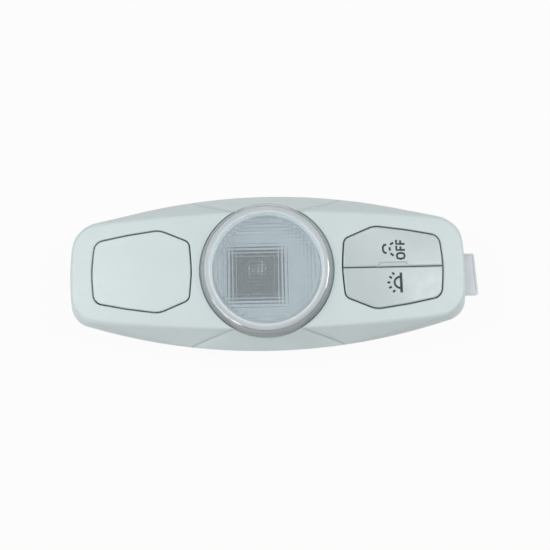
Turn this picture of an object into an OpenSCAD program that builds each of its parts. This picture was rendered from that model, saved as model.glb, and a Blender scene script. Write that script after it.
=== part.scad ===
// Car dome light with a round prismatic lens, two push keys and one blank cover.
// It lies on its back. The origin is on the lens axis, in the rear plane of the carrier.
// X runs along the lamp, +Z points out of the face.

/* [Bezel] */
// Length of the bezel over its rear edge
body_l = 181.6; // [180:0.2:190]
// Width of the bezel over its rear edge, across the middle
body_w = 71.4; // [69:0.2:78]
// Height of the bezel from its rear edge to its face
bezel_h = 13; // [12:0.5:16]
// Wall of the bezel
wall = 2.2; // [1.6:0.1:2.6]
// How far the bowed flanks fall in towards the ends, at the rear edge
flank_drop = 11.9; // [9:0.1:13]
// How far the flanks of the face fall in towards the ends
face_drop = 4; // [2:0.1:6]
// How far the flanks of the face's flat part fall in
flat_drop = 4.4; // [2:0.1:6]
// Radius of the end corners at the rear edge
corner_r = 10.5; // [6:0.5:12]
// Radius of the end corners of the face
face_corner_r = 16; // [10:0.5:18]
// How far each end bows out
end_bow = 1.5; // [0.6:0.1:2.5]
// Radius of the bowed ends
end_r = 150; // [100:5:300]
// How far the flanks lean in between the rear edge and the face
flank_lean = 8.1; // [6:0.1:9]
// How far the ends lean in
end_lean = 2.4; // [2:0.1:4.5]
// How far the bowed middle facets stand out from the wings
wing_step = 2.2; // [2:0.1:5]
// Length of the bowed middle facets
facet_l = 70; // [60:1:80]
// Length of each middle facet at the face
facet_face_l = 32; // [24:1:56]
// Upright lip along the rear edge
lip_h = 1.4; // [0.6:0.1:2.4]
// Width of the rounded shoulder round the face
shoulder_w = 2.2; // [1.2:0.1:3]
// Height of the rounded shoulder
shoulder_h = 3.2; // [1.6:0.1:4]

/* [Windows and keys] */
// Distance from the side of the lens to the inner edge of each window
window_lens_gap = 3.3; // [3:0.1:5]
// Distance from the end of the bezel to the outer edge of each window
window_end = 12.2; // [11.6:0.1:17]
// Distance from the inner edge of each window to its widest place
window_peak = 14.7; // [11:0.1:20]
// Distance from the flank to the widest place of each window
window_side = 16.8; // [16.2:0.1:18]
// How far each side of a window falls in towards its inner end
window_in_fall = 5.7; // [4:0.1:7]
// How far each side of a window falls in towards its outer end
window_out_fall = 5; // [3.5:0.1:6.5]
// How far the long sides of the windows bow out
side_bow = 0.4; // [0.1:0.1:1]
// Radius at the widest place of the windows
peak_r = 10; // [5:1:25]
// Radius of the inner corners of the windows
window_r = 3.6; // [1.5:0.1:4.5]
// Radius of the outer corners of the windows
window_out_r = 5; // [1.5:0.1:6]
// Radius of the windows' bowed sides and ends
window_bow_r = 56; // [45:1:70]
// Running gap round the keys and the cover
key_gap = 0.55; // [0.3:0.05:0.6]
// Height of the keys above the face
key_proud = 0.2; // [0:0.05:0.6]
// Thickness of the key tops and of the cover
key_t = 1.8; // [1.4:0.1:2.4]
// Wall of the key skirts
skirt_t = 1.2; // [0.9:0.1:1.6]
// Depth of the guide collar below the face
collar_h = 5.4; // [4.8:0.1:6]
// Wall of the guide collar
collar_t = 1.3; // [1:0.1:1.5]
// Height of the stop flange at the foot of each skirt
stop_h = 1; // [0.8:0.1:1.2]
// How far the stop flange reaches under the collar
stop_w = 0.8; // [0.6:0.05:0.9]
// Play between the stop flange and the collar
stop_gap = 0.2; // [0.1:0.05:0.4]
// Travel of the keys
key_travel = 1.8; // [1.2:0.1:2]
// Length of the finger ridge on the door key
ridge_l = 15.3; // [10:0.1:18]
// Width of the finger ridge
ridge_w = 1.9; // [1.2:0.1:2.4]
// Height of the finger ridge
ridge_h = 0.8; // [0.4:0.1:1.2]

/* [Lens and reflector] */
// Distance from the flank to the side of the lens, where it leaves the face
lens_side = 5.8; // [5.6:0.1:7.6]
// Height of the lens above the face
lens_h = 6.5; // [5:0.1:8]
// How far the side wall of the lens leans in
lens_lean = 2.2; // [1:0.1:3]
// Width and height of the bevelled front edge of the lens
lens_edge = 1; // [0.5:0.1:1.5]
// Thickness of the clear lens
lens_t = 2.2; // [1.8:0.1:2.6]
// Width of the clear band round the field of prisms
prism_band = 2.2; // [1.6:0.1:5]
// Pitch of the prisms
prism_pitch = 1.85; // [1.7:0.05:3]
// Height of the prisms
prism_h = 0.35; // [0.2:0.05:0.5]
// Reach of the two ears that hold the lens behind the bezel
lens_ear = 1.4; // [1:0.1:1.5]
// Thickness of the ears
lens_ear_t = 1.7; // [1.2:0.1:2]
// Width of the ears across the lamp
lens_ear_w = 24; // [12:1:30]
// Play round the lens
lens_gap = 0.2; // [0.1:0.05:0.3]
// Play between the reflector and the inside of the lens
reflector_gap = 0.5; // [0.3:0.1:1.5]
// Wall of the reflector
reflector_t = 1.2; // [0.9:0.1:1.5]
// Width of the dish's sloping wall
dish_wall = 5.7; // [3:0.1:7]
// Width of the reflector's flat rim
dish_rim = 2.6; // [1.5:0.1:3]
// Distance from the square well to the inside of the tub
well_side = 2.6; // [2.2:0.1:4]
// Depth of the square well below the reflector's floor
well_h = 10; // [6:0.5:11]
// Radius of the hole for the bulb
well_hole_r = 6.5; // [6:0.1:9]
// Place of the bulb and the well along the lamp
bulb_x = -5; // [-6:0.1:-3]
// How far the well stands off the middle line
well_y = -1.4; // [-2:0.1:2]

/* [Carrier] */
// Distance from the rear plane of the carrier to the rear edge of the bezel
tub_h = 26; // [25:0.5:30]
// Wall of the carrier
carrier_t = 2.2; // [1.8:0.1:2.4]
// Width of the tub behind the panel
tub_w = 36; // [35.6:0.2:40]
// Distance from the right end of the bezel to the tub
tub_end = 11.8; // [10.8:0.1:12.8]
// Distance from the left end of the bezel to the tub
tub_left_end = 10.8; // [10:0.1:14.8]
// Length of the deep bay left of the lens axis
deep_left = 26; // [24:0.5:30]
// Depth of the shallow left bay behind the panel
shallow_h = 12; // [10:0.5:16]
// Corner radius of the tub
tub_r = 4; // [2:0.5:6]
// Play between the carrier's plate and the bezel
plate_gap = 0.3; // [0.2:0.05:0.5]
// Reach of the locating tongue past the tub
tongue_l = 17.6; // [14:0.1:20]
// Width of the tongue
tongue_w = 19.4; // [14:0.1:24]
// How far the tongue stands off the middle line
tongue_y = -2.1; // [-4:0.1:4]
// Thickness of the tongue
tongue_t = 2.4; // [1.6:0.1:3]
// Gap between the tongue and the panel's face
tongue_gap = 2.2; // [2.1:0.1:4]
// Slant of the tongue's end
tongue_slant = 1; // [0:0.1:3]
// Thickness of the ribs under the tongue
rib_t = 1.6; // [1:0.1:2.4]
// Height of the ribs where they leave the tub
rib_h = 7; // [4:0.5:10]
// Width of the retaining spring
clip_w = 12; // [8:0.5:16]
// Reach of the retaining spring past the tub
clip_reach = 5; // [3:0.1:6]
// Height of the retaining spring's nose
clip_h = 7.2; // [5:0.1:8]
// Length of the leg that holds the spring inside the tub
clip_leg = 4.6; // [3:0.1:6]
// Distance from the panel to the slot of the retaining spring
clip_drop = 3.4; // [2.8:0.1:4]
// Thickness of the retaining spring
clip_t = 0.8; // [0.5:0.1:1]

/* [Switches and board] */
// Height of the board above the tub's floor
board_up = 12; // [11:0.5:13]
// Thickness of the board
board_t = 1.6; // [1.2:0.1:2]
// Left end of the board from the lens axis
board_left = 11; // [10.5:0.5:12]
// Distance from the board to the inside of the tub at its right end and sides
board_gap = 0.8; // [0.5:0.1:2]
// Distance from the outer edge of the windows to the switches
switch_end = 22.6; // [18:0.1:26]
// How far each switch stands in from the middle of its key
switch_in = 0.9; // [0.5:0.1:1.5]
// Length of a switch body
switch_l = 12; // [10:0.5:13]
// Distance from a switch body to the inside of the tub
switch_side = 1.2; // [0.8:0.1:2.4]
// Distance from a switch body to the middle line
switch_mid = 2.6; // [1.6:0.1:4]
// Height of a switch body
switch_h = 6.6; // [6:0.1:7.5]
// Diameter of the plungers
plunger_d = 4; // [3:0.1:4.6]
// Clearance on the diameter of the plungers
plunger_fit = 0.12; // [0.06:0.02:0.18]
// Depth that a plunger stands in its switch
plunger_in = 3; // [2.4:0.1:3.4]
// Diameter of the plunger's collar
plunger_collar_d = 8.4; // [8:0.1:9.4]
// Thickness of the plunger's collar
plunger_collar_t = 1.2; // [0.8:0.1:1.6]
// Depth of the sockets below the key tops
socket_h = 5; // [4:0.5:5.5]
// Wall of the sockets
socket_t = 1.4; // [1:0.1:1.8]
// Diameter of the spring wire
wire_d = 0.7; // [0.5:0.05:0.9]
// Outer diameter of the key springs
spring_d = 7.4; // [7:0.1:7.8]
// Number of turns of the key springs
spring_turns = 5; // [4:1:7]

/* [Bulb and connector] */
// Diameter of the bulb
bulb_d = 10; // [8:0.2:11]
// Height of the bulb's tip above the tub's floor
bulb_tip = 31; // [28:0.5:33]
// Diameter of the bulb holder
holder_d = 16; // [14:0.5:17]
// Height of the bulb holder
holder_h = 12; // [10:0.5:13]
// Radius of the bulb's neck
neck_r = 2.6; // [2:0.1:3]
// Thickness of the bulb's flat base
base_t = 2.2; // [1.6:0.1:2.6]
// Depth of the bulb's base in its holder
base_h = 7; // [5:0.5:8]
// Width of the contact strips
strip_w = 3; // [2:0.1:4]
// Thickness of the contact strips
strip_t = 0.6; // [0.4:0.05:0.8]
// Length of the connector
plug_l = 20; // [16:0.5:21]
// Width of the connector
plug_w = 12; // [11:0.5:14]
// Wall of the connector
plug_t = 1.4; // [1:0.1:1.8]
// Number of connector pins
pins = 4; // [2:1:4]
// Pitch of the connector pins
pin_pitch = 3.8; // [3:0.1:4]
// Diameter of the connector pins
pin_d = 1; // [0.8:0.05:1.2]

/* [Screws] */
// Distance of the carrier screws from the ends of the bezel
screw_in = 8.2; // [8:0.1:8.6]
// Distance of the carrier screws from the flanks
screw_side = 22.7; // [21.7:0.1:24.7]
// Diameter of the carrier screws
screw_d = 3; // [2.5:0.1:3.2]
// Height of the heads of the carrier screws
head_h = 2.2; // [1.6:0.1:2.4]
// Reach of the carrier screw heads past the shank
head_over = 1.3; // [1:0.1:1.6]
// Diameter of the board screws
board_screw_d = 2.4; // [2:0.1:2.6]
// Height of the heads of the board screws
board_head_h = 1.6; // [1:0.1:2]
// Reach of the board screw heads past the shank
board_head_over = 1; // [0.8:0.1:1.4]
// Distance of the board screws from the board's edges
board_screw_in = 4; // [3.6:0.1:4.4]

/* [Hidden] */
$fn = 64;

// Levels from the rear plane upwards
seat_z = tub_h;
face_z = seat_z + bezel_h;
under_z = face_z - wall;
plate_top = seat_z + carrier_t;
plate_inset = wall + plate_gap + max(0, carrier_t - lip_h) * flank_lean / (bezel_h - lip_h - shoulder_h);
floor_z = carrier_t;
board_z = floor_z + board_up;
board_top = board_z + board_t;
switch_top = board_top + switch_h;
key_top = face_z + key_proud;
key_under = key_top - key_t;
collar_foot = face_z - collar_h;
stop_top = collar_foot - stop_gap;
stop_foot = stop_top - stop_h;
socket_foot = key_under - socket_h;
plunger_foot = switch_top - plunger_in;
ear_top = under_z - lens_gap;
skirt_foot = ear_top - lens_ear_t;
reflector_top = skirt_foot + 0.5;
dish_floor = plate_top + 1;
well_foot = dish_floor - well_h;
lens_z = face_z + lens_h;
tongue_top = seat_z - tongue_gap;
clip_z = seat_z - clip_drop;
shallow_z = seat_z - shallow_h;

// Places worked out from the sizes
lens_r = body_w / 2 - lens_side;
lens_in_r = lens_r - lens_t;
prism_r = lens_in_r - lens_lean - prism_band;
reflector_r = lens_in_r - reflector_gap;
wing_half = body_w / 2 - wing_step;
window_out = body_l / 2 - window_end;
window_in = lens_r + window_lens_gap;
peak_x = window_in + window_peak;
window_half = body_w / 2 - window_side;
switch_x = window_out - switch_end;
tub_right = body_l / 2 - tub_end;
tub_left = body_l / 2 - tub_left_end;
well_w = tub_w - 2 * (carrier_t + reflector_t + well_side);
board_right = tub_right - carrier_t - board_gap;
board_w = tub_w - 2 * (carrier_t + board_gap);
switch_y = window_half / 2 - switch_in;
switch_w = tub_w / 2 - carrier_t - switch_side - switch_mid;
plug_x = (board_left + switch_x) / 2;
screw_x = body_l / 2 - screw_in;
screw_y = body_w / 2 - screw_side;
boss_r = screw_d / 2 + 1.9;
pad_h = 4.6;
head_r = screw_d / 2 + head_over;
screw_fit = 0.1;
screw_end_gap = 1.6;
recess_w = 0.7;
recess_h = 1;
post_x = [board_left + board_screw_in, board_right - board_screw_in];
post_y = board_w / 2 - board_screw_in + 1;
post_r = 3;
post_floor = 3;
socket_wall_in = 2;
pin_y = -plug_w / 2 + plug_t + socket_wall_in;
pin_up = 1.2;
pin_foot = 3;
plug_roof = 2.6;
strip_in = 4.6;
strip_y = 4.2;
strip_rise = 6;
strip_edge = 2.6;
strip_z = floor_z + strip_rise;
strip_x = board_left + strip_edge;
strip_up = 1.4;
slot_fit = 0.15;
neck_in = 0.5;
ridge_low = 0.05;
stop_rib_t = 1.2;
spring_gap = 0.05;
key_floor = 0.6;
eps = 0.01;
arc_error = 0.03;
shoulder_steps = 5;
facet_step = 0.3;

// How far the corners at the ends of the windows stand back from the middle of those ends
in_back = 1.1;
out_back = 1.4;

// An outline is a list of corners [x, y, radius], counter-clockwise and convex
function at(c, i) = c[(i + len(c)) % len(c)];
function place(k) = [k[0], k[1]];
function edge(c, i) = place(at(c, i + 1)) - place(at(c, i));
function unit(v) = v / norm(v);
function left_of(v) = [-v[1], v[0]];
function spin(v, a) = [v[0] * cos(a) - v[1] * sin(a), v[0] * sin(a) + v[1] * cos(a)];
function turn(c, i) =
    let (a = edge(c, i - 1), b = edge(c, i))
    atan2(a[0] * b[1] - a[1] * b[0], a * b);
// Length that a corner's arc takes off each of its two edges
function reach(c, i) = at(c, i)[2] * tan(turn(c, i) / 2);
// An arc shrinks where its edge is too short for both of the arcs on it
function room(c, i) = min(1, norm(edge(c, i)) / (reach(c, i) + reach(c, i + 1) + eps));
function arc_steps(r, a) = r < 0.1 ? 0 : max(2, ceil(a / (2 * acos(1 - arc_error / r))));
function corner_arc(c, i) =
    let (r = at(c, i)[2] * min(room(c, i - 1), room(c, i)),
        a = turn(c, i),
        along = unit(edge(c, i - 1)),
        start = place(at(c, i)) - along * r * tan(a / 2),
        centre = start + left_of(along) * r,
        n = arc_steps(r, a))
    [for (k = [0 : n]) centre - spin(left_of(along), n == 0 ? 0 : a * k / n) * r];
function rounded(c) = [for (i = [0 : len(c) - 1]) each corner_arc(c, i)];
// Moves every edge of an outline inwards by d, or outwards where d is negative
function inset(c, d) =
    [for (i = [0 : len(c) - 1])
        let (a = left_of(unit(edge(c, i - 1))), b = left_of(unit(edge(c, i))),
            p = place(at(c, i)) + (a + b) * d / (1 + a * b))
        [p[0], p[1], max(at(c, i)[2] - d, 0.2)]];
// Outline part of the way, f, from outline a to outline b
function between(a, b, f) = [for (i = [0 : len(a) - 1]) a[i] + (b[i] - a[i]) * f];
function turned(half) = [for (k = half) [-k[0], -k[1], k[2]]];

// Bowed outline of the lamp: half length, half width, fall of its flanks and corner radius
function bow_r(chord, drop) = (chord * chord + drop * drop) / (2 * drop);
function bowed(hl, hw, drop, cr) =
    let (r = bow_r(hl - cr, drop), span = asin((hl - cr) / r), far = r / cos(span / 3), a = span * 2 / 3,
        fx = far * sin(a), fy = far * cos(a) - r + hw,
        ex = hl - end_bow, ey = fy - (ex - fx) * tan(span),
        tip = end_r * (1 / cos(atan2(end_bow, ey)) - 1),
        half = [[hl + tip, 0, end_r], [ex, ey, cr], [fx, fy, r], [0, far - r + hw, r], [-fx, fy, r],
            [-ex, ey, cr]])
    concat(half, turned(half));
// Middle facet: a short length of the lamp between two bowed flanks
function bar(hx, hw, r) =
    let (a = asin(hx / r), y = r * cos(a) - r + hw,
        half = [[hx, y, 0], [0, r / cos(a) - r + hw, r], [-hx, y, 0]])
    concat(half, turned(half));

rear = bowed(body_l / 2, body_w / 2, flank_drop, corner_r);
rear_r = bow_r(body_l / 2 - corner_r, flank_drop);
face = bowed(body_l / 2 - end_lean, body_w / 2 - flank_lean, face_drop, face_corner_r);
flat = bowed(body_l / 2 - end_lean - shoulder_w, body_w / 2 - flank_lean - shoulder_w, flat_drop,
    face_corner_r - shoulder_w);
in_half = window_half - window_in_fall;
out_half = window_half - window_out_fall;
side_mid = [(peak_x + window_out - out_back) / 2, (window_half + out_half) / 2 + side_bow];
window = [
    [window_in, 0, window_bow_r], [window_in + in_back, -in_half, window_r], [peak_x, -window_half, peak_r],
    [side_mid[0], -side_mid[1], window_bow_r], [window_out - out_back, -out_half, window_out_r],
    [window_out, 0, window_bow_r], [window_out - out_back, out_half, window_out_r],
    [side_mid[0], side_mid[1], window_bow_r], [peak_x, window_half, peak_r],
    [window_in + in_back, in_half, window_r]];
tub_outline = [
    [tub_right, -tub_w / 2, tub_r], [tub_right, tub_w / 2, tub_r],
    [-tub_left, tub_w / 2, tub_r], [-tub_left, -tub_w / 2, tub_r]];
deep_outline = [
    [tub_right, -tub_w / 2, tub_r], [tub_right, tub_w / 2, tub_r],
    [-deep_left, tub_w / 2, tub_r], [-deep_left, -tub_w / 2, tub_r]];

module plate(outline, z0, z1) {
    translate([0, 0, z0]) linear_extrude(z1 - z0) polygon(rounded(outline));
}

// Plate that follows the inside of the bezel's rear edge, t in from its outer form
module rear_plate(t, z0, z1) {
    intersection() {
        plate(inset(rear, t), z0, z1);
        translate([-body_l / 2, t - wing_half, z0]) cube([body_l, 2 * (wing_half - t), z1 - z0]);
    }
    plate(bar(facet_l / 2 - t, body_w / 2 - t, rear_r - t), z0, z1);
}

module at_both_ends() {
    children();
    mirror([1, 0, 0]) children();
}

module at_screws() {
    for (x = [-screw_x, screw_x], y = [-screw_y, screw_y])
        translate([x, y, 0]) children();
}

module at_posts() {
    for (x = post_x, y = [-post_y, post_y]) translate([x, y, 0]) children();
}

// Long body of the bezel, inset by t from the outer form
module wings(t, z0) {
    hull() {
        translate([0, 0, z0]) linear_extrude(seat_z + lip_h - z0) intersection() {
            polygon(rounded(inset(rear, t)));
            square([body_l, 2 * (wing_half - t)], center = true);
        }
        for (k = [0 : shoulder_steps])
            let (a = 90 * k / shoulder_steps)
            translate([0, 0, face_z - t - shoulder_h * (1 - sin(a)) - eps])
                linear_extrude(eps) polygon(rounded(inset(between(face, flat, 1 - cos(a)), t)));
    }
}

// Bowed facet on each flank, across the middle of the lamp
module middle_facets(t, z0) {
    hull() {
        translate([0, 0, z0]) linear_extrude(seat_z + lip_h - z0)
            polygon(rounded(bar(facet_l / 2 - t, body_w / 2 - t, rear_r - t)));
        for (k = [0 : shoulder_steps])
            let (a = 90 * k / shoulder_steps, d = t + flank_lean - facet_step + shoulder_w * (1 - cos(a)))
            translate([0, 0, face_z - t - shoulder_h * (1 - sin(a)) - eps])
                linear_extrude(eps)
                    polygon(rounded(bar(facet_face_l / 2 + flank_lean - d, body_w / 2 - d, rear_r - d)));
    }
}

// Moulded front frame with its windows, guide collars and screw bosses
module bezel() {
    color([0.82, 0.87, 0.87]) difference() {
        union() {
            difference() {
                union() {
                    wings(0, seat_z);
                    middle_facets(0, seat_z);
                }
                wings(wall, seat_z - 1);
                middle_facets(wall, seat_z - 1);
            }
            at_both_ends() plate(inset(window, -collar_t), collar_foot, under_z + wall / 2);
            at_screws() translate([0, 0, seat_z + pad_h])
                cylinder(r = boss_r, h = under_z - seat_z - pad_h + wall / 2);
            lens_stops();
        }
        at_both_ends() plate(window, seat_z, face_z + 1);
        translate([0, 0, seat_z]) cylinder(r = lens_r + lens_gap, h = bezel_h + 1);
        at_screws() translate([0, 0, seat_z + pad_h - 1])
            cylinder(r = screw_d / 2 + screw_fit, h = under_z - seat_z - pad_h);
    }
}

// Short ribs that stand against the ears of the lens
module lens_stops() {
    r = lens_r + lens_ear + lens_gap;
    h = under_z - skirt_foot + eps;
    translate([0, 0, skirt_foot]) intersection() {
        difference() {
            cylinder(r = r + stop_rib_t, h = h);
            translate([0, 0, -1]) cylinder(r = r, h = bezel_h);
        }
        translate([-body_l / 2, -lens_ear_w / 2, 0]) cube([body_l, lens_ear_w, h]);
    }
}

// Clear cup with rows of small prisms inside its front, held by two ears
module prism_rows() {
    n = ceil(prism_r / prism_pitch) + 1;
    rotate([90, 0, 90]) linear_extrude(2 * n * prism_pitch, center = true)
        polygon(concat(
            [[(n + 0.5) * prism_pitch, lens_t / 2], [-(n + 0.5) * prism_pitch, lens_t / 2]],
            [for (i = [-n : n]) each [[(i - 0.5) * prism_pitch, 0], [i * prism_pitch, -prism_h]]],
            [[(n + 0.5) * prism_pitch, 0]]));
}

module lens() {
    front = lens_z - lens_t;
    color([0.8, 0.87, 0.9, 0.5]) {
        intersection() {
            translate([0, 0, skirt_foot]) difference() {
                cylinder(r = lens_r + lens_ear, h = lens_ear_t);
                translate([0, 0, -1]) cylinder(r = lens_r - lens_t / 2, h = lens_ear_t + 2);
            }
            translate([-body_l / 2, -lens_ear_w / 2, 0]) cube([body_l, lens_ear_w, lens_z]);
        }
        rotate_extrude($fn = 96) polygon([
            [prism_r, front], [lens_in_r - lens_lean, front], [lens_in_r, face_z], [lens_in_r, skirt_foot],
            [lens_r, skirt_foot], [lens_r, face_z], [lens_r - lens_lean, lens_z - lens_edge],
            [lens_r - lens_lean - lens_edge, lens_z], [0, lens_z], [0, lens_z - lens_t / 2],
            [prism_r, lens_z - lens_t / 2]]);
        translate([0, 0, front]) intersection() {
            prism_rows();
            rotate([0, 0, 90]) prism_rows();
            translate([0, 0, -1]) cylinder(r = prism_r, h = 1 + lens_t / 2, $fn = 96);
        }
    }
}

// Top plate, skirt and stop flange that fill a window
module window_cap() {
    outer = inset(window, key_gap);
    inner = inset(window, key_gap + skirt_t);
    plate(outer, key_under, key_top);
    difference() {
        union() {
            plate(outer, stop_foot, key_under + eps);
            plate(inset(window, -stop_w), stop_foot, stop_top);
        }
        plate(inner, stop_foot - 1, key_under);
    }
}

module blank_cover() {
    color([0.79, 0.84, 0.84]) mirror([1, 0, 0]) window_cap();
}

// Half of the window cap, above the split, with its inner skirt and plunger socket
module key() {
    low = key_gap / 2;
    difference() {
        union() {
            intersection() {
                window_cap();
                translate([0, low, 0]) cube([body_l, body_w, lens_z]);
            }
            intersection() {
                plate(inset(window, key_gap), stop_foot, key_under + eps);
                translate([0, low, 0]) cube([body_l, skirt_t, lens_z]);
            }
            translate([switch_x, switch_y, socket_foot])
                cylinder(d = plunger_d + plunger_fit + 2 * socket_t, h = socket_h + eps);
        }
        translate([switch_x, switch_y, socket_foot - 1])
            cylinder(d = plunger_d + plunger_fit, h = socket_h + 1);
    }
}

module door_key() {
    low = ridge_low;
    color([0.79, 0.84, 0.84]) {
        key();
        plate([
            [switch_x - ridge_l / 2, low, 0.5], [switch_x + ridge_l / 2, low, 0.5],
            [switch_x + ridge_l / 2, low + ridge_w, 0.7], [switch_x - ridge_l / 2, low + ridge_w, 0.7]],
            key_top - eps, key_top + ridge_h);
    }
}

module lamp_key() {
    color([0.79, 0.84, 0.84]) mirror([0, 1, 0]) key();
}

// Stem with the collar that its spring pushes on
module plunger(y) {
    color([0.93, 0.93, 0.9]) translate([switch_x, y, 0]) {
        translate([0, 0, plunger_foot]) cylinder(d = plunger_d, h = key_under - plunger_foot);
        translate([0, 0, socket_foot - plunger_collar_t])
            cylinder(d = plunger_collar_d, h = plunger_collar_t);
    }
}

module door_plunger() {
    plunger(switch_y);
}

module lamp_plunger() {
    plunger(-switch_y);
}

// Round wire wound between the switch and the plunger's collar
module key_spring(y) {
    sides = 6;
    per_turn = 16;
    n = spring_turns * per_turn;
    r = (spring_d - wire_d) / 2;
    low = switch_top + wire_d / 2 + spring_gap;
    high = socket_foot - plunger_collar_t - wire_d / 2 - spring_gap;
    rise = high - low;
    tilt = atan2(rise / spring_turns, 2 * PI * r);
    points = [for (i = [0 : n], k = [0 : sides - 1])
        let (a = 360 * i / per_turn, b = 360 * k / sides,
            out = wire_d / 2 * cos(b), up = wire_d / 2 * sin(b),
            ring = r + out)
        [ring * cos(a) + up * sin(tilt) * sin(a), ring * sin(a) - up * sin(tilt) * cos(a),
            low + rise * i / n + up * cos(tilt)]];
    sides_of = [for (i = [0 : n - 1], k = [0 : sides - 1])
        let (a = i * sides + k, b = i * sides + (k + 1) % sides)
        [a, b, b + sides, a + sides]];
    first = [for (k = [sides - 1 : -1 : 0]) k];
    last = [for (k = [0 : sides - 1]) n * sides + k];
    color([0.7, 0.72, 0.74]) translate([switch_x, y, 0])
        polyhedron(points, concat([first], sides_of, [last]));
}

module door_spring() {
    key_spring(switch_y);
}

module lamp_spring() {
    key_spring(-switch_y);
}

// Push switch above the middle line, with a blind bore for its plunger
module switch_body() {
    color([0.16, 0.16, 0.17]) difference() {
        translate([switch_x - switch_l / 2, switch_mid, board_top]) cube([switch_l, switch_w, switch_h]);
        translate([switch_x, switch_y, plunger_foot - key_travel - key_floor])
            cylinder(d = plunger_d + plunger_fit, h = switch_h);
    }
}

module door_switch() {
    switch_body();
}

module lamp_switch() {
    mirror([0, 1, 0]) switch_body();
}

// Shallow dish with a square well, whose floor lets the bulb through
module reflector() {
    half = well_w / 2;
    out = half + reflector_t;
    steps = 8;
    dish_r = reflector_r - dish_wall;
    rise = reflector_top - dish_floor - reflector_t;
    curve = [for (k = [0 : steps])
        let (a = 90 * k / steps)
        [dish_r + (dish_wall - dish_rim) * sin(a), dish_floor + reflector_t + rise * (1 - cos(a))]];
    color([0.95, 0.96, 0.96]) difference() {
        union() {
            rotate_extrude() polygon(concat(
                [[0, dish_floor], [reflector_r - reflector_t, dish_floor],
                    [reflector_r - reflector_t, plate_top], [reflector_r, plate_top],
                    [reflector_r, reflector_top]],
                [for (k = [steps : -1 : 0]) curve[k]],
                [[0, dish_floor + reflector_t]]));
            translate([bulb_x - out, well_y - out, well_foot])
                cube([2 * out, 2 * out, well_h + reflector_t]);
        }
        translate([bulb_x - half, well_y - half, well_foot + reflector_t])
            cube([2 * half, 2 * half, well_h + bezel_h]);
        translate([bulb_x, 0, well_foot - 1]) cylinder(r = well_hole_r, h = reflector_t + 2);
    }
}

// Glass bulb with a flat pinched base
base_w = bulb_d - 1.2;
module bulb() {
    r = bulb_d / 2;
    tip = floor_z + bulb_tip;
    neck = floor_z + holder_h;
    taper = r;
    color([0.95, 0.95, 0.92, 0.6]) translate([bulb_x, 0, 0]) {
        rotate_extrude() polygon(concat(
            [[0, neck - neck_in], [neck_r, neck - neck_in], [r - taper / 8, neck + taper * 0.6],
                [r, neck + taper]],
            [for (k = [0 : 8]) let (a = 90 * k / 8) [r * cos(a), tip - r + r * sin(a)]]));
        translate([-base_t / 2, -base_w / 2, neck - base_h]) cube([base_t, base_w, base_h]);
    }
}

module bulb_holder() {
    r = holder_d / 2;
    step_h = 3;
    step_w = 1.4;
    color([0.2, 0.2, 0.21]) translate([bulb_x, 0, floor_z]) difference() {
        union() {
            cylinder(r = r, h = holder_h - step_h);
            cylinder(r = r - step_w, h = holder_h - neck_in - eps);
        }
        translate([-base_t / 2 - slot_fit, -base_w / 2 - slot_fit, holder_h - base_h - slot_fit])
            cube([base_t + 2 * slot_fit, base_w + 2 * slot_fit, base_h + 1]);
        translate([0, 0, holder_h - neck_in - slot_fit]) cylinder(r = neck_r + slot_fit, h = 2);
        for (y = [-strip_y, strip_y])
            translate([r - strip_in - slot_fit, y - strip_w / 2 - slot_fit,
                strip_z - floor_z - strip_t / 2 - slot_fit])
                cube([strip_in + 1, strip_w + 2 * slot_fit, strip_t + 2 * slot_fit]);
    }
}

// Flat strip from the holder to the board
module strip(y) {
    start = bulb_x + holder_d / 2 - strip_in;
    color([0.8, 0.66, 0.35]) translate([0, y - strip_w / 2, 0]) {
        translate([start, 0, strip_z - strip_t / 2]) cube([strip_x - start + strip_t / 2, strip_w, strip_t]);
        translate([strip_x - strip_t / 2, 0, strip_z - strip_t / 2])
            cube([strip_t, strip_w, board_top + strip_up - strip_z]);
    }
}

module feed_strip() {
    strip(strip_y);
}

module return_strip() {
    strip(-strip_y);
}

module at_pins() {
    for (k = [0 : pins - 1])
        translate([plug_x + (k - (pins - 1) / 2) * pin_pitch, pin_y, 0]) children();
}

module circuit_board() {
    color([0.16, 0.36, 0.24]) difference() {
        translate([board_left, -board_w / 2, board_z]) cube([board_right - board_left, board_w, board_t]);
        at_posts() translate([0, 0, board_z - 1])
            cylinder(r = board_screw_d / 2 + screw_fit, h = board_t + 2);
        at_pins() translate([0, 0, board_z - 1]) cylinder(r = pin_d / 2 + screw_fit, h = board_t + 2);
        for (y = [-strip_y, strip_y])
            translate([strip_x - strip_t / 2 - slot_fit, y - strip_w / 2 - slot_fit, board_z - 1])
                cube([strip_t + 2 * slot_fit, strip_w + 2 * slot_fit, board_t + 2]);
    }
}

// Socket that opens through the rear of the carrier
module connector_body() {
    color([0.13, 0.13, 0.14]) difference() {
        translate([plug_x - plug_l / 2, -plug_w / 2, 0]) cube([plug_l, plug_w, board_z]);
        translate([plug_x - plug_l / 2 + plug_t, -plug_w / 2 + plug_t, -1])
            cube([plug_l - 2 * plug_t, plug_w - 2 * plug_t, board_z - plug_roof + 1]);
        at_pins() cylinder(r = pin_d / 2 + screw_fit, h = board_z + 1);
    }
}

module connector_pins() {
    color([0.82, 0.7, 0.4]) at_pins() translate([0, 0, pin_foot])
        cylinder(d = pin_d, h = board_top + pin_up - pin_foot);
}

// Profile of a bent strip of thickness t along a list of points
function ribbon(p, t) =
    let (n = len(p) - 1,
        side = [for (i = [0 : n])
            let (a = left_of(unit(p[max(i, 1)] - p[max(i, 1) - 1])),
                b = left_of(unit(p[min(i + 1, n)] - p[min(i + 1, n) - 1])))
            (a + b) / (1 + a * b) * t / 2])
    concat([for (i = [0 : n]) p[i] - side[i]], [for (i = [n : -1 : 0]) p[i] + side[i]]);

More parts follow.
